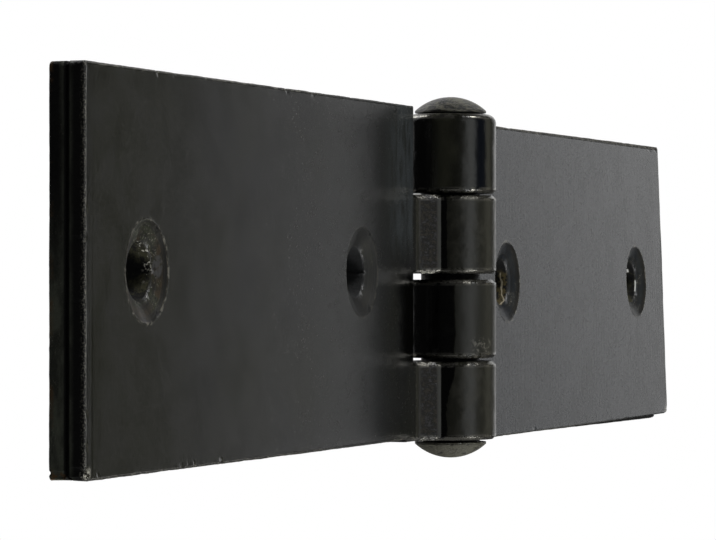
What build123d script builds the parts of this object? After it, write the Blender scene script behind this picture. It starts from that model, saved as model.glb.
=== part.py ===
from build123d import *
import os
from math import acos, atan2, cos, degrees, hypot, radians, sin, sqrt

# Gate hinge of pressed steel strip, in millimetres. Each leaf is one strip folded round the
# pin and pressed back on itself, so it is two plies thick. Both leaves are the same pressing,
# one turned half round the other, and a riveted pin runs through their four knuckles.
# The pin stands on Z with its middle at the origin. The gate leaf reaches to +X and the post
# leaf to -X. The fronts, where the screws go in, face -Y.

# Leaf
ply = 2.4                    # thickness of the strip
leaf_height = 50.0           # width of the strip, along the pin
leaf_reach = 127.0           # from the pin's axis to the free end
front_setback = 1.8          # from the pin's axis back to the leaf's front face
plate_shift = 0.7            # each plate sits this much to one side of the barrel's middle
edge_round = 0.3             # dulled outer edges of the cut strip
seam_chamfer = 0.3           # inner edges of each ply, which leave a groove along the seam
corner_round = 0.6           # corners of the free end, seen from the front

# Fold round the pin
fork_reach = 11.0            # from the axis to where the plies part
slot_reach = 11.6            # from the axis to the bottoms of the slots
neck_angle = 41.0            # slope of the front ply as it rises to the pin
neck_bend = 2.5              # radius at the foot of that slope
crease_bend = 0.5            # radius of the crease between neck and knuckle
back_bend = 12.0             # radius of the back ply's slight bend
mouth_gap = 0.2              # paint fills the fold where the plies are closer than this

# Skew of each ply in the leaf's own plane, in degrees, the far end up
gate_skews = (0.15, -0.25)   # front ply, back ply
post_skews = (0.0, 0.0)

# Knuckles, from the barrel's top down, as they were cut and as they have settled on the pin
knuckle_lengths = (12.1, 11.9, 11.9, 11.9)
knuckle_gaps = (0.32, 0.92, 0.5)
knuckle_chamfer = 0.5        # outer edges of the knuckles' ends
gate_end_round = 1.4         # the same at the barrel's top, where the strip's edge is rounder
running_clearance = 0.08     # radial, between pin and leaf

# Pin
pin_radius = 4.5
head_radius = 5.45
head_height = 2.45
head_rim = 0.3               # thickness of a head at its edge
head_gaps = (0.25, 0.45)     # between the upper and lower head and the barrel's ends

# Screw holes
hole_radius = 3.75
countersink_radius = 6.5
countersink_depth = 1.2
inner_hole_reach = 33.5      # from the axis
outer_hole_reach = 109.0

# Worked out from the sizes above
bore_radius = pin_radius + running_clearance
knuckle_radius = bore_radius + ply
seam_y = front_setback + ply
back_y = seam_y + ply
head_seat = (sum(knuckle_lengths) + sum(knuckle_gaps) + sum(head_gaps)) / 2
knuckle_tops = [head_seat - head_gaps[0]]
for length, gap in zip(knuckle_lengths, knuckle_gaps):
    knuckle_tops.append(knuckle_tops[-1] - length - gap)


def turned(angle):
    """Unit vector at an angle in degrees from +X towards +Y."""
    return Vector(cos(radians(angle)), sin(radians(angle)))


def arc(centre, radius, start, end):
    """Arc between two angles in degrees."""
    return CenterArc((centre.X, centre.Y), radius, start, end - start)


def fold_line(inset):
    """The strip's face in plan, from where the plies part, up the neck, round the pin and back.
    An inset of 0 is the outer face and an inset of one ply the inner face."""
    across = turned(90 + neck_angle)
    foot = Vector(fork_reach, front_setback - neck_bend)
    # the crease's centre lies beside the neck, and just outside the knuckle
    beside = foot + across * (neck_bend - crease_bend)
    up_neck = turned(180 + neck_angle)
    lean = beside.dot(up_neck)
    far = knuckle_radius + crease_bend
    crease = beside + up_neck * (-lean - sqrt(lean**2 - beside.dot(beside) + far**2))
    # the back ply runs straight between its bend and the knuckle, touching both
    hollow = Vector(fork_reach, back_y + back_bend)
    bearing = degrees(atan2(hollow.Y, hollow.X))
    bearing += degrees(acos((knuckle_radius + back_bend) / hypot(hollow.X, hollow.Y)))

    radius = knuckle_radius - inset
    neck = Line(foot + across * (neck_bend + inset), crease + across * (crease_bend + inset))
    to_crease = degrees(atan2(crease.Y, crease.X))
    back = Line(turned(bearing) * radius, hollow - turned(bearing) * (back_bend + inset))
    return [
        arc(foot, neck_bend + inset, 90, 90 + neck_angle),
        neck,
        arc(crease, crease_bend + inset, 90 + neck_angle, 180 + to_crease),
        arc(Vector(0, 0), radius, bearing, 360 + to_crease),
        back,
        arc(hollow, back_bend + inset, 180 + bearing, 270),
    ]


def fold_section():
    """Plan section of a knuckle and its neck, as far as a short stub inside the plate."""
    stub = slot_reach + ply
    plate = Polyline((fork_reach, front_setback), (stub, front_setback), (stub, back_y),
                     (fork_reach, back_y))
    outside = make_face(fold_line(0) + plate.edges())
    inside = make_face(fold_line(ply))
    # the plies part so slowly that paint bridges the start of the gap
    parting = 1 / (neck_bend + ply) + 1 / (back_bend + ply)
    mouth = fork_reach - sqrt(2 * mouth_gap / parting)
    inside -= Pos(mouth + ply, seam_y) * Rectangle(2 * ply, 2 * ply)
    return outside - inside


def end_rim(solid, end):
    """Outer edges of a knuckle's lower (0) or upper (-1) end, without the end of its stub."""
    rim = solid.faces().sort_by(Axis.Z)[end].outer_wire().edges()
    return rim.sort_by(Axis.X)[:-1]


def knuckle(low, high, top_round=0):
    """One knuckle between two heights along the pin, chamfered unless its top is rounded."""
    solid = extrude(Pos(0, 0, low) * fold_section(), high - low)
    solid = chamfer(end_rim(solid, 0), knuckle_chamfer)
    if top_round:
        return fillet(end_rim(solid, -1), top_round)
    return chamfer(end_rim(solid, -1), knuckle_chamfer)


def ply_plate(front, outer_end, skew):
    """One ply of the leaf beyond the slots. Its outer face is at the low (0) or high (-1) end
    of Y, and its inner face bears on the other ply."""
    plate = extrude(Rectangle(leaf_reach - slot_reach, leaf_height), ply)
    plate = fillet(plate.edges().filter_by(Axis.Z).sort_by(Axis.X)[-2:], corner_round)
    inner = plate.faces().sort_by(Axis.Z)[-1 - outer_end]
    plate = chamfer(inner.edges(), seam_chamfer)
    outer = plate.faces().sort_by(Axis.Z)[outer_end]
    plate = fillet(outer.edges(), edge_round)
    upright = Rot(-90, 0, 0) * Pos((leaf_reach - slot_reach) / 2, 0, 0) * plate
    return Pos(slot_reach, front, -plate_shift) * Rot(0, -skew, 0) * upright


def screw_hole(reach):
    """Cutter for a round hole with a shallow countersink in the front."""
    sink = Cone(countersink_radius, hole_radius, countersink_depth,
                align=(Align.CENTER, Align.CENTER, Align.MIN))
    hole = Cylinder(hole_radius, 6 * ply)
    return Pos(reach, front_setback, -plate_shift) * Rot(-90, 0, 0) * (hole + sink)


def leaf(outer_knuckle, inner_knuckle, skews, end_round=0):
    """A leaf as it hangs on +X, with its outer knuckle at the top of the barrel. Each knuckle
    is given by the heights of its two ends."""
    body = ply_plate(front_setback, 0, skews[0]) + ply_plate(seam_y, -1, skews[1])
    body += knuckle(*outer_knuckle, end_round) + knuckle(*inner_knuckle)
    for reach in (inner_hole_reach, outer_hole_reach):
        body -= screw_hole(reach)
    return body


def rivet_pin():
    """The pin with a domed head on each end, turned from its half outline."""
    dome = (head_radius**2 + (head_height - head_rim)**2) / (2 * (head_height - head_rim))
    top = head_seat + head_height
    spread = degrees(atan2(head_radius, dome - head_height + head_rim))
    upper = arc(Vector(0, top - dome), dome, 90, 90 - spread)
    side = Polyline((head_radius, head_seat + head_rim), (head_radius, head_seat),
                    (pin_radius, head_seat), (pin_radius, -head_seat),
                    (head_radius, -head_seat), (head_radius, -head_seat - head_rim))
    lower = arc(Vector(0, dome - top), dome, 270 + spread, 270)
    middle = Line((0, -top), (0, top))
    outline = make_face(upper.edges() + side.edges() + lower.edges() + middle.edges())
    return revolve(Plane.XZ * outline, Axis.Z)


ends = [(top - length, top) for top, length in zip(knuckle_tops, knuckle_lengths)]
turned_ends = [(-high, -low) for low, high in ends]
nodes = {
    "gate_leaf": leaf(ends[0], ends[2], gate_skews, gate_end_round),
    "post_leaf": Rot(0, 180, 0) * leaf(turned_ends[3], turned_ends[1], post_skews),
    "hinge_pin": rivet_pin(),
}
os.makedirs("parts", exist_ok=True)
for name, shape in nodes.items():
    export_step(shape, f"parts/{name}.step")
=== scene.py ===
from math import cos, pi, radians, sin

import bmesh
import bpy
from mathutils import Euler, Matrix, Vector, noise


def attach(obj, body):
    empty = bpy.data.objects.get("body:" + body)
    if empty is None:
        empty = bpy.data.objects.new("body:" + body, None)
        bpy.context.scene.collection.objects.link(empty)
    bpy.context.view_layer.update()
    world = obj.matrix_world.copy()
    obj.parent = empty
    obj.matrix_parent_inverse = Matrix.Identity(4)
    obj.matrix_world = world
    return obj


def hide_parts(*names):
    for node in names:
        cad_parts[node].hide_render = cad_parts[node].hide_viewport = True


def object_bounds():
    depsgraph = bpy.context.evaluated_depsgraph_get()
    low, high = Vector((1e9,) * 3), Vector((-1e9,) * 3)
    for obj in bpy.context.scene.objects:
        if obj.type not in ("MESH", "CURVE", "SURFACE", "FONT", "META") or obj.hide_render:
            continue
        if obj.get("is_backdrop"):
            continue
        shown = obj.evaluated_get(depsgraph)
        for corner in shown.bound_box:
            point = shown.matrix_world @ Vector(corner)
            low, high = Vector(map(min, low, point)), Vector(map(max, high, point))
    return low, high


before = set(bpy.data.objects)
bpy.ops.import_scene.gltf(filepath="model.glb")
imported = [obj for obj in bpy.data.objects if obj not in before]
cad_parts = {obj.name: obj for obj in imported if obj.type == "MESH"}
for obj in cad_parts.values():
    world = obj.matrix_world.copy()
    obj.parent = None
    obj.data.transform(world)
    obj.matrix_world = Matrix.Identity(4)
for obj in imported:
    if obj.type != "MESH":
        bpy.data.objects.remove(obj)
cad_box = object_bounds()

# The two leaves. Each is one black-painted steel strip, sheared to length, folded round the pin
# and pressed back on itself. Its cut edges are ragged, its outer edges are rubbed bright, and the
# paint is satin on the plate and thicker on the knuckles. Sizes are in millimetres, from the pin.
MM = 1000
reach = 127.0                # to the free end
slot_reach = 11.6            # to the bottoms of the slots
front = 1.8                  # back to the front face
ply = 2.4                    # thickness of the strip
half_height = 25.0           # of the plate
plate_middle = -0.7          # height of the plate's middle on the barrel
inner_hole, outer_hole = 33.5, 109.0
hole_radius = 3.75
sink_radius = 6.5            # of the countersinks
sink_depth = 1.2
rim_round = 0.33             # rounding of the chamfers at the knuckles' ends
edge_band = 1.0              # width of the band along the cut edges that can get battered
shear_wave = 0.05            # how far the sheared edges wander, slowly and quickly
shear_burr = 0.03
nick_depth = 0.18
gnaw_depth = 0.6


def step(value, start, end):
    """Goes smoothly from 0 to 1 as value goes from start to end."""
    share = min(1, max(0, (value - start) / (end - start)))
    return share * share * (3 - 2 * share)


def slice_across(skin, axis, places, start):
    """Cuts what lies past start along the leaf, straight across an axis at each of some places."""
    for place in places:
        faces = [face for face in skin.faces if face.calc_center_median().x > start]
        parts = {part for face in faces for part in (face, *face.edges, *face.verts)}
        bmesh.ops.bisect_plane(skin, geom=list(parts), plane_co=axis * place, plane_no=axis)


def round_knuckle_rims(skin):
    """Rounds the chamfers at the ends of the knuckles, as the press and the paint left them."""
    chamfers = {face for face in skin.faces
                if 0.5 < abs(face.normal.z) < 0.9 and face.calc_center_median().x < slot_reach - 0.5}
    rims = [edge for edge in skin.edges if sum(face in chamfers for face in edge.link_faces) == 1
            and edge.calc_face_angle() > radians(30)]
    bmesh.ops.bevel(skin, geom=rims, offset=rim_round, offset_type="OFFSET", segments=3,
                    profile=0.5, affect="EDGES", clamp_overlap=True)


def divide_cut_edges(skin, pitch):
    """Cuts the plate along its edges, and across them at every pitch, so that they can bend."""
    along, up = Vector((1, 0, 0)), Vector((0, 0, 1))
    past_slots = slot_reach + 0.2
    for inset in (0.45, edge_band):
        ends = [plate_middle + half_height - inset, plate_middle - half_height + inset]
        slice_across(skin, up, ends, past_slots)
        slice_across(skin, along, [reach - inset], past_slots)
    rows = int(2 * (half_height - edge_band) / pitch)
    heights = [plate_middle + pitch * (row + 0.5 - rows / 2) for row in range(rows)]
    slice_across(skin, up, heights, reach - edge_band)
    columns = int((reach - edge_band - slot_reach) / pitch)
    reaches = [reach - edge_band - pitch * (column + 0.5) for column in range(columns)]
    slice_across(skin, along, reaches, past_slots)


def batter(skin, side, seed):
    """Makes the cut edges wavy, nicks the front edges and gnaws the corners of the low end."""
    draw = Vector((seed, 0, 0))
    for vertex in skin.verts:
        point = vertex.co
        if point.x < slot_reach + 0.3:
            continue
        rise = point.z - plate_middle
        rim_gap = min(reach - point.x, half_height - abs(rise))
        arris = step(max(rim_gap, abs(point.y - front)), 0.9, 0.1)
        edge = step(rim_gap, 0.6, 0.2)
        corner = step(max(reach - point.x, half_height + side * rise), 2.2, 0.2)
        sheared = noise.noise(point * 0.2 + draw) * shear_wave
        sheared += noise.noise(point * 1.3 + draw) * shear_burr
        nick = step(noise.noise(point * 0.8 - draw), 0.42, 0.75) * nick_depth
        gnawed = abs(noise.noise(point * 1.7 + draw)) * gnaw_depth
        vertex.co = point - vertex.normal * (edge * sheared + arris * nick + corner * gnawed)


def twist(skin, angle):
    """Turns the leaf steadily about its length, from the slots to the free end."""
    for vertex in skin.verts:
        turn = angle * max(0, (vertex.co.x - slot_reach) / (reach - slot_reach))
        vertex.co = Matrix.Rotation(turn, 3, "X") @ vertex.co


def leaf_piece(name, node_name, body, side, pitch, seed, twist_angle):
    """The visible leaf, from the leaf's own solid. Side is 1 for the leaf on +X. The one on -X is
    worked on turned half round, which lays it on +X too. Each point keeps its place on the flat
    leaf for the paint."""
    skin = bmesh.new()
    skin.from_mesh(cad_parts[node_name].data)
    to_flat = Matrix.Diagonal((side * MM, MM, side * MM, 1))
    bmesh.ops.transform(skin, matrix=to_flat, verts=skin.verts)
    bmesh.ops.remove_doubles(skin, verts=skin.verts, dist=0.005)
    bmesh.ops.dissolve_limit(skin, angle_limit=radians(0.05), verts=skin.verts, edges=skin.edges)
    round_knuckle_rims(skin)
    divide_cut_edges(skin, pitch)
    bmesh.ops.triangulate(skin, faces=skin.faces)
    skin.normal_update()

    places = [vertex.co.copy() for vertex in skin.verts]
    curved = [max(map(abs, face.normal)) < 0.999 for face in skin.faces]
    batter(skin, side, seed)
    twist(skin, twist_angle)
    bmesh.ops.transform(skin, matrix=to_flat.inverted(), verts=skin.verts)
    mesh = bpy.data.meshes.new(name)
    skin.to_mesh(mesh)
    skin.free()
    on_leaf = mesh.attributes.new("on_leaf", "FLOAT_VECTOR", "POINT")
    on_leaf.data.foreach_set("vector", [value for place in places for value in place])
    mesh.set_sharp_from_angle(angle=radians(38))
    mesh.polygons.foreach_set("use_smooth", curved)
    leaf = bpy.data.objects.new(name, mesh)
    bpy.context.scene.collection.objects.link(leaf)
    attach(leaf, body)
    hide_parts(node_name)
    return leaf


class Field:
    """A number, a place or a colour that a material works out at every point of a surface."""

    def __init__(self, socket):
        self.socket = socket
        self.tree = socket.id_data

    def __add__(self, other):
        return figure("ADD", self, other)

    def __sub__(self, other):
        return figure("SUBTRACT", self, other)

    def __rsub__(self, other):
        return figure("SUBTRACT", other, self)

    def __mul__(self, other):
        return figure("MULTIPLY", self, other)

    def __truediv__(self, other):
        return figure("DIVIDE", self, other)

    def __abs__(self):
        return figure("ABSOLUTE", self)


def layer(tree, kind, inputs=(), **settings):
    """Adds one node to a material and joins or sets its inputs."""
    node = tree.nodes.new("ShaderNode" + kind)
    for name, value in settings.items():
        setattr(node, name, value)
    for socket, value in dict(inputs).items():
        if isinstance(value, Field):
            tree.links.new(value.socket, node.inputs[socket])
        else:
            node.inputs[socket].default_value = value
    return node


def figure(operation, *values):
    """The result of some arithmetic on plain numbers and at least one field."""
    tree = next(value.tree for value in values if isinstance(value, Field))
    return Field(layer(tree, "Math", enumerate(values), operation=operation).outputs[0])


def smaller(one, other):
    """The smaller of two values."""
    return figure("MINIMUM", one, other)


def larger(one, other):
    """The larger of two values."""
    return figure("MAXIMUM", one, other)


def distance(across, up):
    """How far two steps at right angles lead."""
    return figure("SQRT", across * across + up * up)


def fade(value, start, end, low=0.0, high=1.0):
    """Goes smoothly from low to high as value goes from start to end."""
    inputs = {"Value": value, "From Min": start, "From Max": end, "To Min": low, "To Max": high}
    node = layer(value.tree, "MapRange", inputs, interpolation_type="SMOOTHSTEP")
    return Field(node.outputs[0])


def grain(place, size, detail=3.0, rough=0.5, stretch=(1, 1, 1)):
    """Cloudy noise from 0 to 1, mostly near 0.5, with spots about size millimetres across."""
    inputs = {0: place, 1: Vector(stretch) / size}
    scaled = Field(layer(place.tree, "VectorMath", inputs, operation="MULTIPLY").outputs[0])
    inputs = {"Vector": scaled, "Scale": 1.0, "Detail": detail, "Roughness": rough}
    return Field(layer(place.tree, "TexNoise", inputs).outputs[0])


def over(under, coat, share):
    """A coat of one colour or number over another, where share is from 0 to 1."""
    number = coat.socket.type == "VALUE" if isinstance(coat, Field) else isinstance(coat, float)
    kind, first, result = ("FLOAT", 2, 0) if number else ("RGBA", 6, 2)
    inputs = {0: share, first: under, first + 1: coat}
    return Field(layer(share.tree, "Mix", inputs, data_type=kind).outputs[result])


class Finish:
    """A piece's paint, dirt and wear, laid over one another as colour, roughness and relief."""

    def __init__(self, name):
        self.material = bpy.data.materials.new(name)
        self.material.use_nodes = True
        self.tree = self.material.node_tree
        self.colour = None
        self.roughness = None
        self.relief = None

    def lay(self, share, colour=None, roughness=None, relief=None):
        """Lays a coat over what is there, where share is from 0 to 1."""
        if colour is not None:
            self.colour = over(self.colour, colour, share)
        if roughness is not None:
            self.roughness = over(self.roughness, roughness, share)
        if relief is not None:
            self.relief = over(self.relief, relief, share)

    def dry(self, relief_depth):
        """Joins the coats to the surface, with the relief's depth in metres, and gives it back."""
        surface = self.tree.nodes["Principled BSDF"]
        inputs = {"Strength": 1.0, "Distance": relief_depth, "Height": self.relief}
        bump = layer(self.tree, "Bump", inputs)
        self.tree.links.new(self.colour.socket, surface.inputs["Base Color"])
        self.tree.links.new(self.roughness.socket, surface.inputs["Roughness"])
        self.tree.links.new(bump.outputs[0], surface.inputs["Normal"])
        return surface


# Soot black: real soot in the countersinks' rings and chips, and painted shade on the front ply's cut
# edges, in the seam between the plies, in a crescent on each countersink and in the bores.
soot_and_shade = (0.0006, 0.0006, 0.0005, 1)
rust = (0.1600, 0.0900, 0.0350, 1)
moss = (0.1300, 0.1400, 0.1050, 1)
bare_steel = (0.1900, 0.1800, 0.1500, 1)
bright_steel = (0.6000, 0.5800, 0.5000, 1)
rubbed_steel = (0.1500, 0.1450, 0.1280, 1)
fine_dust = (0.0360, 0.0350, 0.0300, 1)
mottle_black = (0.0040, 0.0040, 0.0030, 1)
streak_black = (0.0040, 0.0040, 0.0040, 1)
end_black = (0.0030, 0.0030, 0.0020, 1)
pitted_olive = (0.0420, 0.0400, 0.0200, 1)


class LeafFinish(Finish):
    """The finish of one leaf, with the places on the flat leaf and the grains that it follows."""

    def __init__(self, name, side, knuckle_ends):
        super().__init__(name)
        self.place = Field(layer(self.tree, "Attribute", attribute_name="on_leaf").outputs["Vector"])
        self.x, self.y, self.z = map(Field, layer(self.tree, "SeparateXYZ", {0: self.place}).outputs)
        self.rise = self.z - plate_middle
        self.drop = self.rise * -side                # down from the plate's middle, as it hangs
        self.depth = self.y - front
        self.outer = figure("GREATER_THAN", self.x, (inner_hole + outer_hole) / 2)
        self.along = self.x - (self.outer * (outer_hole - inner_hole) + inner_hole)
        self.leftward = self.along * -side           # from the nearer hole's axis, seen from the front
        self.hole_gap = distance(self.along, self.rise)
        self.rim_gap = smaller(reach - self.x, half_height - abs(self.rise))

        end_gap = abs(self.z - knuckle_ends[0])
        for end in knuckle_ends[1:]:
            end_gap = smaller(end_gap, abs(self.z - end))
        outside = fade(distance(self.x, self.y), 5.9, 6.3)
        self.cut_edge = fade(self.rim_gap, 0.4, 0.22)
        self.knuckle = fade(self.x, slot_reach - 0.2, slot_reach - 2.2)
        self.knuckle_rim = fade(end_gap, 1.0, 0.5) * fade(self.x, 10.5, 9.5) * outside

        self.patch = grain(self.place, 5, 4, 0.6)
        self.streak = grain(self.place, 1.6, 3, 0.6, (1.8, 1, 0.35))
        self.fine = grain(self.place, 0.5, 4, 0.75)
        self.grit = grain(self.place, 0.24, 2, 0.6)
        self.blotch = grain(self.place, 2.2, 4, 0.7)
        self.chip = grain(self.place, 0.7, 3, 0.7)


def coat_leaf(leaf, coats, plate_roughness, mottle, barrel_roughness):
    """The satin paint of the plate, dusty, streaked and darker towards the free end, and the
    thicker paint of the knuckles, scuffed in blotches. Mottle is the strength of dark patches."""
    light, dark, barrel, barrel_scuff = coats
    leaf.colour = over(light, dark, fade(grain(leaf.place, 24, 2), 0.35, 0.7, 0, 0.7))
    leaf.lay(fade(leaf.x, 75, 118), colour=dark)
    leaf.lay(fade(leaf.patch, 0.46, 0.74, 0, mottle), colour=mottle_black)
    leaf.lay(fade(leaf.fine, 0.48, 0.78, 0, 0.35), colour=fine_dust)
    leaf.lay(fade(leaf.streak, 0.5, 0.75, 0, 0.4), colour=streak_black)
    leaf.lay(fade(leaf.x, reach - 3.0, reach - 0.2, 0, 0.7), colour=end_black)
    glossier, duller = plate_roughness - 0.08 * mottle, plate_roughness + 0.12 * mottle
    leaf.roughness = fade(leaf.patch, 0.3, 0.7, glossier, duller)
    leaf.lay(fade(leaf.fine, 0.5, 0.8), roughness=plate_roughness + 0.10)
    leaf.relief = over(leaf.fine * 0.2, leaf.fine + leaf.chip, leaf.cut_edge)

    scuffed = over(barrel, barrel_scuff, fade(leaf.blotch, 0.42, 0.68))
    scuffed = over(scuffed, barrel_scuff, fade(leaf.fine, 0.52, 0.72))
    gloss = fade(leaf.blotch, 0.4, 0.7, barrel_roughness, barrel_roughness + 0.09)
    swell = leaf.fine * 0.25 + grain(leaf.place, 3.2, 2) * 1.7
    leaf.lay(leaf.knuckle, colour=scuffed, roughness=gloss, relief=swell)
    leaf.lay(leaf.knuckle_rim, relief=leaf.blotch * 1.5 + swell)


def weather_cut_edges(leaf):
    """The sheared edges. Their black in the seam and on the front ply is painted shade; they are mossy
    low down, rusty on the back ply and rubbed at the front, and the corners of the low end are broken
    down to bright steel and rust."""
    # Painted shade: the groove between the plies is laid black and fully rough.
    seam_shade = fade(abs(leaf.depth - ply), 0.5, 0.25)
    by_seam = fade(leaf.depth, 3.6, 2.6, 0, 0.75)
    mossy = fade(leaf.depth, 1.3, 2.2) * larger(fade(leaf.drop, -12, 6), by_seam)
    # The soot black left uncovered under the moss is painted shade on the front ply.
    edge = over(soot_and_shade, moss, fade(leaf.streak, 0.35, 0.65, 0.35, 1) * mossy)
    edge = over(edge, rust, fade(leaf.patch, 0.48, 0.64) * fade(leaf.depth, 3.9, 4.5))
    edge = over(edge, bare_steel, fade(leaf.grit, 0.58, 0.70) * fade(leaf.blotch, 0.42, 0.6) * mossy)
    edge = over(edge, bare_steel, fade(leaf.depth, 0.7, 0.2) * fade(leaf.grit, 0.48, 0.66))
    edge = over(edge, soot_and_shade, seam_shade)
    leaf.lay(leaf.cut_edge, colour=edge, roughness=0.6)
    leaf.lay(leaf.cut_edge * seam_shade, roughness=1.0)

    corner_gap = larger(reach - leaf.x, half_height - leaf.drop)
    broken = fade(corner_gap, 2.0, 0.5) * fade(leaf.chip, 0.48, 0.60)
    leaf.lay(broken * fade(leaf.depth, 0.9, 0.4), colour=bright_steel)
    leaf.lay(broken * fade(leaf.depth, 2.4, 3.0), colour=rust)


def weather_holes(leaf, sinks, crumbs_inside):
    """The countersinks, cut in fine rings and stained more at the outer hole, with painted shade on
    their right side seen from the front, and the bores, painted near black as shade with pitted olive
    in the outer one, where bright crumbs may lie. Sinks are the plain, stained and dusty shades."""
    sink = fade(leaf.hole_gap, sink_radius + 0.05, sink_radius - 0.1)
    sink *= fade(leaf.depth, sink_depth + 0.3, sink_depth)
    bore = fade(leaf.hole_gap, hole_radius + 0.15, hole_radius + 0.05)
    bore *= fade(leaf.depth, sink_depth - 0.1, sink_depth + 0.1)
    rings = grain(Field(layer(leaf.tree, "CombineXYZ", {0: leaf.hole_gap}).outputs[0]), 1 / 3, 2)

    plain, stained, dusty = sinks
    turned = over(plain, stained, fade(leaf.blotch, 0.40, 0.64) * fade(leaf.outer, 0, 1, 0.2, 1))
    turned = over(turned, dusty, fade(leaf.patch, 0.52, 0.60))
    turned = over(turned, soot_and_shade, fade(rings, 0.48, 0.56, 0, 0.75))
    turned = over(turned, soot_and_shade, fade(leaf.chip, 0.56, 0.64))
    turned = over(turned, bare_steel, fade(leaf.grit, 0.58, 0.68) * fade(leaf.patch, 0.5, 0.6))
    # Painted shade: a soot-black crescent on the right side of each countersink, seen from the front.
    turned = over(turned, soot_and_shade, fade(leaf.hole_gap, 5.3, 6.1) * fade(leaf.leftward, -0.5, -3.0))
    # The bores' walls are painted near black as shade, with pitted olive over the outer ones.
    shade_and_pitting = over(soot_and_shade, pitted_olive, leaf.outer * fade(leaf.blotch, 0.42, 0.62))
    if crumbs_inside:
        near_mouth = fade(leaf.depth, sink_depth + 1.5, sink_depth + 0.6)
        crumbs = near_mouth * fade(leaf.chip, 0.54, 0.62) * fade(leaf.drop, 2.5, -0.5) * leaf.outer
        shade_and_pitting = over(shade_and_pitting, bright_steel, crumbs)
    duller_left = fade(leaf.leftward, 0.5, 2.5, 0.38, 0.75)
    leaf.lay(bore, roughness=1.0)
    leaf.lay(sink, colour=turned, roughness=duller_left, relief=rings * 1.2 + leaf.blotch * 0.7)
    leaf.lay(bore, colour=shade_and_pitting, relief=leaf.chip * 2.0)


def rub_edges(leaf):
    """Bare steel along the plate's front edges and round the countersinks, and in a few specks."""
    arris = fade(leaf.rim_gap, 0.6, 0.1) * fade(abs(leaf.depth), 0.9, 0.2)
    arris *= fade(leaf.grit, 0.50, 0.70) * fade(leaf.blotch, 0.38, 0.58)
    sink_rim = fade(leaf.hole_gap, sink_radius + 0.4, sink_radius + 0.1)
    sink_rim *= fade(leaf.hole_gap, sink_radius - 0.3, sink_radius - 0.1) * fade(leaf.depth, 0.6, 0.2)
    sink_rim *= fade(leaf.chip, 0.5, 0.6) * 0.6
    specks = fade(grain(leaf.place, 0.35, 1, 0.5), 0.83, 0.88) * 0.25
    leaf.lay(larger(larger(arris, sink_rim), specks), colour=bare_steel)


def rub_knuckles(leaf):
    """The rims of the knuckles, rubbed down to shining steel in blotches. Gives back where."""
    rubbed = leaf.knuckle_rim * fade(leaf.blotch, 0.40, 0.54)
    leaf.lay(rubbed, colour=rubbed_steel)
    leaf.lay(leaf.knuckle_rim, roughness=fade(leaf.blotch, 0.4, 0.65, 0.16, 0.28))
    return rubbed


def leaf_paint(leaf, coats, sinks, crumbs_inside, plate_roughness, mottle, barrel_roughness, marks):
    """Worn black paint over steel, laid out on the flat leaf. Coats are the paint's light and dark
    shade on the plate, and its shade on the knuckles, plain and scuffed."""
    coat_leaf(leaf, coats, plate_roughness, mottle, barrel_roughness)
    weather_cut_edges(leaf)
    weather_holes(leaf, sinks, crumbs_inside)
    rub_edges(leaf)
    marks(leaf)
    rubbed = rub_knuckles(leaf)
    surface = leaf.dry(0.00008)
    leaf.tree.links.new(rubbed.socket, surface.inputs["Metallic"])
    return leaf.material


# The gate leaf. Its plate is slightly twisted, and its paint is thinner and bluer. Its upper
# knuckle is glossy, with a painted reflection in lighter olive and a painted dark blue reflection
# band on its front, and its lower one is scuffed dull, and lighter as painted sheen, over the half
# that faces forward.
# Angles are in degrees round the pin, from +X towards +Y.
gate_twist = radians(-2.1)
gate_knuckle_ends = (24.87, 12.77, -0.37, -12.27)
gate_coats = ((0.0165, 0.0190, 0.0225, 1), (0.0130, 0.0150, 0.0178, 1), (0.0008, 0.0008, 0.0008, 1),
              (0.0030, 0.0030, 0.0026, 1))
gate_sinks = ((0.0010, 0.0040, 0.0080, 1), (0.0030, 0.0062, 0.0098, 1), (0.0060, 0.0085, 0.0110, 1))
side_streaks = (0.0030, 0.0030, 0.0030, 1)
fill_reflection_olive = (0.0400, 0.0400, 0.0270, 1)
scuff_and_sheen = (0.0140, 0.0140, 0.0100, 1)
dim_sheen_olive = (0.0085, 0.0085, 0.0055, 1)
dark_reflection_blue = (0.0030, 0.0040, 0.0065, 1)
flaked_grey = (0.1100, 0.1050, 0.0880, 1)
bore_shade_black = (0.0010, 0.0010, 0.0008, 1)
debris_brown = (0.0900, 0.0700, 0.0270, 1)
straw = (0.4200, 0.3700, 0.2700, 1)
white_chips = (0.8000, 0.8000, 0.7600, 1)


def oval(leaf, along, rise, half_width, half_height):
    """A soft oval on the leaf, placed from the axis of its outer screw hole."""
    across = (leaf.along - along) / half_width
    up = (leaf.rise - rise) / half_height
    return fade(distance(across, up), 1.15, 0.85) * leaf.outer


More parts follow.
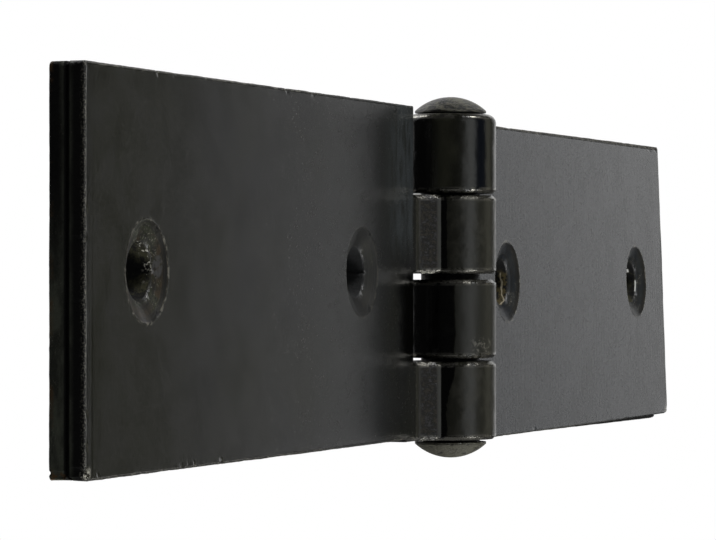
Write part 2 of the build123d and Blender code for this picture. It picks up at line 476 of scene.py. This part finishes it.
def mark_gate_plate(leaf):
    """The streaks beside the upper knuckle, the inner bore painted near black as shade, and what has
    lodged in the two screw holes.
    """
    beside = fade(leaf.x, 24.0, 15.0) * fade(leaf.z, 0.0, 9.0)
    streaks = grain(leaf.place, 2.2, 4, 0.65, (1.6, 1, 0.3))
    leaf.lay(beside * fade(streaks, 0.46, 0.62), colour=side_streaks)
    leaf.lay(beside * fade(streaks, 0.50, 0.66), roughness=0.42)

    sunk = fade(leaf.depth, 0.02, 0.12) * fade(leaf.depth, sink_depth, sink_depth - 0.2)
    leaf.lay(fade(leaf.hole_gap, 7.2, 5.4) * sunk, roughness=0.40)
    in_bore = fade(leaf.hole_gap, 4.6, 3.4) * fade(leaf.depth, sink_depth - 0.1, sink_depth + 0.2)
    # Painted shade: the inner bore is laid near black, and the brown crumbs and the straw lie over it.
    inner_bore = in_bore * (1 - leaf.outer)
    leaf.lay(inner_bore, colour=bore_shade_black)
    crumbled = fade(grain(leaf.place, 0.9, 3, 0.7), 0.44, 0.56)
    leaf.lay(inner_bore * crumbled * fade(leaf.z, 1.6, 0.2), colour=debris_brown)
    bend = grain(leaf.place, 3.0, 2) * 3.0 + 0.4
    stalk = fade(abs(leaf.depth - bend), 0.22, 0.10) * fade(leaf.z, 1.0, 0.4)
    leaf.lay(inner_bore * stalk, colour=straw)
    at_mouth = oval(leaf, 3.9, -1.0, 0.7, 1.3) * fade(abs(leaf.depth - 1.3), 0.16, 0.08)
    deep_in = oval(leaf, 3.2, 2.1, 1.0, 0.3) * fade(abs(leaf.depth - 2.6), 0.35, 0.2)
    leaf.lay(larger(at_mouth, deep_in), colour=white_chips)


def mark_gate_knuckles(leaf):
    """The upper knuckle's front, with a painted reflection in lighter olive and a painted dark blue
    reflection band, the duller half of each knuckle, made lighter as painted sheen, and the flaked
    spot on the lower one."""
    lower_top, upper_bottom = gate_knuckle_ends[2], gate_knuckle_ends[1]
    angle = figure("DEGREES", figure("ARCTAN2", leaf.y, leaf.x))
    waver = grain(leaf.place, 4, 3) * 30.0 - 15.0
    forward = fade(leaf.x, 9.0, 7.0) * fade(angle, -20, -40)

    # Painted reflection: the upper knuckle's front half is laid in a lighter olive.
    upper_front = fade(leaf.z, upper_bottom - 0.17, upper_bottom - 0.07)
    upper_front *= fade(leaf.x, 10.0, 8.0) * fade(leaf.y, 1.5, -1.0)
    leaf.lay(upper_front, colour=fill_reflection_olive, roughness=0.22)
    # Scuffed paint with painted sheen: the lower knuckle's forward half is duller and laid lighter.
    scuffed = forward * fade(waver * 0.2 + angle, -158, -154)
    scuffed *= fade(leaf.z, lower_top + 0.27, lower_top - 0.03)
    leaf.lay(scuffed, colour=scuff_and_sheen, roughness=0.40)
    # Painted sheen: a dimmer olive over the middle and +X side of the upper knuckle's front.
    dulled = forward * fade(angle + waver, -172, -148)
    dulled *= fade(leaf.z, upper_bottom - 0.17, upper_bottom + 0.13)
    leaf.lay(dulled, colour=dim_sheen_olive, roughness=0.27)
    # Painted reflection: a dark blue band down the upper knuckle's front.
    dark_reflection_band = upper_front * fade(angle, -134, -122) * fade(angle, -104, -116)
    leaf.lay(dark_reflection_band, colour=dark_reflection_blue, roughness=0.17)
    flaked = fade(angle, -138, -126) * fade(angle, -96, -106) * fade(leaf.x, 6.0, 5.0)
    flaked *= fade(leaf.z, -8.6, -10.2) * fade(leaf.chip, 0.50, 0.60)
    leaf.lay(flaked, colour=flaked_grey)


def gate_marks(leaf):
    """What only the gate leaf shows. The knuckles' paint lies over the streaks."""
    mark_gate_plate(leaf)
    mark_gate_knuckles(leaf)


gate_finish = LeafFinish("gate_leaf_paint", 1, gate_knuckle_ends)
gate_paint = leaf_paint(gate_finish, gate_coats, gate_sinks, crumbs_inside=False,
                        plate_roughness=0.26, mottle=0.14, barrel_roughness=0.11, marks=gate_marks)
gate_leaf = leaf_piece("gate_leaf_painted", "gate_leaf", "gate_side", side=1, pitch=1.5, seed=3.1,
                       twist_angle=gate_twist)
gate_leaf.data.materials.append(gate_paint)


# The post leaf. Its paint is more olive, and duller on the knuckles. Painted shade lies black in the
# crease of each neck, in a wedge at the top of the lower one, and a darker, glossier patch lies beside
# the gate's lower knuckle. Heights are turned over, as the leaf is turned half round.
post_knuckle_ends = (-12.45, -0.55, 12.77, 24.67)
crease = (6.95, -0.95)
post_coats = ((0.0092, 0.0096, 0.0098, 1), (0.0070, 0.0074, 0.0026, 1), (0.0130, 0.0130, 0.0090, 1),
              (0.0230, 0.0220, 0.0155, 1))
post_sinks = ((0.0022, 0.0026, 0.0014, 1), (0.0330, 0.0215, 0.0100, 1), (0.0130, 0.0160, 0.0055, 1))
dusty_grey = (0.0300, 0.0340, 0.0360, 1)
paler_grey = (0.0190, 0.0200, 0.0206, 1)
scraped_grey = (0.0420, 0.0420, 0.0420, 1)
neck_black = (0.0008, 0.0008, 0.0006, 1)
neck_scratched = (0.0220, 0.0190, 0.0130, 1)
crease_shade_black = (0.0004, 0.0004, 0.0004, 1)
patch_black = (0.0012, 0.0012, 0.0010, 1)


def mark_post_plate(leaf):
    """The dusty grey beside the gate's upper knuckle, the paler stretch at the inner hole, the
    glossier far end, and the scraped spot in the outer screw hole."""
    beside = fade(leaf.x, 28.0, 17.0) * fade(leaf.z, -1.0, -8.0)
    beside *= fade(leaf.x, slot_reach, slot_reach + 0.6)
    streaks = grain(leaf.place, 2.0, 4, 0.65, (1.6, 1, 0.35))
    leaf.lay(beside * fade(streaks, 0.34, 0.60, 0.25, 1), colour=dusty_grey)
    leaf.lay(fade(leaf.x, 60, 40) * fade(leaf.x, 18, 28) * 0.7, colour=paler_grey)
    leaf.lay(fade(leaf.x, 45, 100, 0, 0.4) * fade(leaf.depth, 0.15, 0.05), roughness=0.16)
    scraped = oval(leaf, -4.7, -0.6, 0.8, 1.4) * fade(grain(leaf.place, 0.8, 3, 0.7), 0.38, 0.52)
    leaf.lay(scraped, colour=scraped_grey)


def mark_post_necks(leaf):
    """The scratched necks, the painted shade in their creases, and the darker, glossier patch at the
    slot.
    """
    scratch = grain(leaf.place, 1.0, 4, 0.75, (1, 1, 1.6))
    neck = fade(leaf.x, 7.2, 7.6) * fade(leaf.x, 11.4, 10.6) * fade(leaf.depth, -0.1, -0.5)
    scratched = over(neck_black, neck_scratched, fade(scratch, 0.46, 0.62))
    duller = fade(scratch, 0.36, 0.50, 0.40, 0.95)
    leaf.lay(neck, colour=scratched, roughness=duller, relief=scratch * 2.6)

    # Painted shade: the crease where each neck meets its knuckle is laid black, widening to a wedge at
    # the top of the lower one.
    lower_bottom = post_knuckle_ends[2]
    wedge = fade(leaf.z, lower_bottom - 0.17, lower_bottom - 0.07) * fade(leaf.z, 20.0, 13.5)
    width = wedge * 1.3 + grain(leaf.place, 1.5, 3) * 0.8 + 0.4
    from_crease = distance(leaf.x - crease[0], leaf.y - crease[1])
    crease_shade = fade(from_crease - width, 0.15, -0.15)
    crease_shade *= fade(leaf.y, crease[1] + 0.15, crease[1] - 0.1) * fade(leaf.x, 8.0, 7.5)
    leaf.lay(crease_shade, colour=crease_shade_black, roughness=0.16)

    # A darker, glossier patch with a ragged edge beside the gate's lower knuckle.
    ragged = grain(leaf.place, 4.0, 4, 0.7) * 14.0 - 7.0
    ragged_rise = ragged * 0.4 + leaf.z
    dark_patch = fade(leaf.x + ragged, 20.5, 16.5) * fade(leaf.x, 10.9, 11.4)
    dark_patch *= fade(ragged_rise, -1.0, 1.0) * fade(ragged_rise, 14.0, 12.0)
    leaf.lay(dark_patch, colour=patch_black, roughness=0.10)


def post_marks(leaf):
    """What only the post leaf shows."""
    mark_post_plate(leaf)
    mark_post_necks(leaf)


post_finish = LeafFinish("post_leaf_paint", -1, post_knuckle_ends)
post_paint = leaf_paint(post_finish, post_coats, post_sinks, crumbs_inside=True,
                        plate_roughness=0.22, mottle=0.40, barrel_roughness=0.32, marks=post_marks)
post_leaf = leaf_piece("post_leaf_painted", "post_leaf", "post_side", side=-1, pitch=0.5, seed=7.7,
                       twist_angle=0)
post_leaf.data.materials.append(post_paint)


# The pin. One steel rivet through all four knuckles, its two heads hammered to shallow domes
# and thinly painted with the leaves, so that the hammer's marks show.
head_seat = 25.0             # height where the upper head begins, and the lower one below
shaft_black = (0.0020, 0.0020, 0.0020, 1)
thin_black = (0.0030, 0.0030, 0.0024, 1)
hammered_steel = (0.1400, 0.1350, 0.1000, 1)
scratched_steel = (0.2200, 0.2150, 0.1800, 1)


def pin_paint():
    """Thin black paint over hammered steel, a little lighter on the lower head."""
    finish = Finish("pin_paint")
    place = Field(layer(finish.tree, "TexCoord").outputs["Object"])
    inputs = {0: place, "Scale": MM}
    local = Field(layer(finish.tree, "VectorMath", inputs, operation="SCALE").outputs[0])
    rise = Field(layer(finish.tree, "SeparateXYZ", {0: local}).outputs[2])
    hammered = grain(local, 1.3, 4, 0.65, (1, 1, 3))
    fine = grain(local, 0.4, 3, 0.6, (1, 1, 5))
    # The lower half shows a little more steel, which makes the lower head lighter.
    worn = hammered + fade(rise, 0, -1, 0, 0.10)
    head = over(thin_black, hammered_steel, fade(worn, 0.44, 0.58))
    head = over(head, scratched_steel, fade(fine, 0.58, 0.72, 0, 0.7))
    finish.colour = over(shaft_black, head, fade(abs(rise), head_seat, head_seat + 0.2))
    finish.roughness = fade(hammered, 0.3, 0.7, 0.32, 0.5)
    finish.relief = fine * 0.5 + hammered
    finish.dry(0.0005)
    return finish.material


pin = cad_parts["hinge_pin"]
pin.data.materials.clear()
pin.data.materials.append(pin_paint())


# The floor. Plain and pale, well below the hanging hinge, and pure white to the camera alone.
floor_drop = 1.2
floor_radius = 8.0
floor_mesh = bpy.data.meshes.new("floor")
disc = bmesh.new()
bmesh.ops.create_circle(disc, cap_ends=True, segments=96, radius=floor_radius)
bmesh.ops.translate(disc, verts=disc.verts, vec=(0, 0, -floor_drop))
disc.to_mesh(floor_mesh)
disc.free()
floor = bpy.data.objects.new("floor", floor_mesh)
bpy.context.scene.collection.objects.link(floor)
floor_white = bpy.data.materials.new("floor_white")
floor_white.use_nodes = True
tree = floor_white.node_tree
surface = tree.nodes["Principled BSDF"]
surface.inputs["Base Color"].default_value = (0.8, 0.8, 0.8, 1)
surface.inputs["Roughness"].default_value = 0.9
surface.inputs["Emission Color"].default_value = (1, 1, 1, 1)
tree.links.new(layer(tree, "LightPath").outputs["Is Camera Ray"], surface.inputs["Emission Strength"])
floor_mesh.materials.append(floor_white)
floor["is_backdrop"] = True


# The room. A white surround stands behind the hinge, as far round and as high as its glossy edges
# can see it. The camera sees white all round, and the rest is dim.
surround_azimuth = radians(125)
surround_half = radians(53)
surround_edge = radians(4)
surround_full_height = radians(32)
surround_top = radians(48)
ambient = 0.025
world = bpy.data.worlds.new("studio")
bpy.context.scene.world = world
world.use_nodes = True
tree = world.node_tree
sky = tree.nodes["Background"]
ray = layer(tree, "LightPath").outputs
way = Field(layer(tree, "TexCoord").outputs["Generated"])
inputs = {0: way, 1: (sin(surround_azimuth), -cos(surround_azimuth), 0)}
facing = Field(layer(tree, "VectorMath", inputs, operation="DOT_PRODUCT").outputs["Value"])
steep = abs(Field(layer(tree, "SeparateXYZ", {0: way}).outputs[2]))
surround = fade(facing, cos(surround_half + surround_edge), cos(surround_half - surround_edge))
surround *= fade(steep, sin(surround_top), sin(surround_full_height))
shiny = larger(Field(ray["Is Glossy Ray"]), Field(ray["Is Transmission Ray"]))
seen = larger(Field(ray["Is Camera Ray"]), shiny * surround)
tree.links.new(larger(seen, ambient).socket, sky.inputs["Strength"])
sky.inputs["Color"].default_value = (1, 1, 1, 1)


# The lamps. A cool panel in front, a dim warm card to its right, and small bright lamps above,
# below and behind, which draw the highlights on the knuckles' rims.
def softbox(name, azimuth, elevation, distance, width, height, radiance, colour=(1, 1, 1)):
    """A soft panel of light that faces the hinge. Azimuth 0 is in front, 90 to the right."""
    light = bpy.data.lights.new(name, "AREA")
    light.shape = "RECTANGLE"
    light.size = width
    light.size_y = height
    light.energy = radiance * pi * width * height
    light.color = colour
    lamp = bpy.data.objects.new(name, light)
    around = radians(azimuth)
    up = radians(elevation)
    away = Vector((sin(around) * cos(up), -cos(around) * cos(up), sin(up)))
    lamp.location = away * distance
    lamp.rotation_euler = away.to_track_quat("Z", "Y").to_euler()
    lamp.visible_camera = False
    bpy.context.scene.collection.objects.link(lamp)


softbox("front_light", azimuth=-19, elevation=0, distance=1.6, width=0.75, height=2.0, radiance=1.05,
        colour=(0.96, 0.99, 1.0))
softbox("warm_card", azimuth=39, elevation=0, distance=1.6, width=0.5, height=2.0, radiance=0.5,
        colour=(1.0, 0.97, 0.8))
softbox("key_light", azimuth=8, elevation=52, distance=1.0, width=0.26, height=0.30, radiance=24)
softbox("low_light", azimuth=8, elevation=-52, distance=1.0, width=0.26, height=0.26, radiance=21)
softbox("back_light", azimuth=165, elevation=40, distance=1.0, width=0.5, height=0.5, radiance=5)


# The camera, low and close to the left end of the hinge, nearly in line with it. Its lens is in
# millimetres and its place in metres.
lens = 171.83
place = Vector((-0.49430, -0.17126, -0.00021))
yaw = radians(69.3405)
pitch = radians(0.1444)
camera_data = bpy.data.cameras.new("camera")
camera_data.lens = lens
camera_data.sensor_width = 36
camera_data.clip_start = 0.01
camera = bpy.data.objects.new("camera", camera_data)
camera.location = place
camera.rotation_euler = Euler((pi / 2 + pitch, 0, -yaw))
bpy.context.scene.collection.objects.link(camera)
bpy.context.scene.camera = camera
bpy.context.scene.view_settings.view_transform = "Standard"

sizes = {"cad": cad_box, "visual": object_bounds()}
sizes = {name: [list(corner) for corner in box] for name, box in sizes.items()}
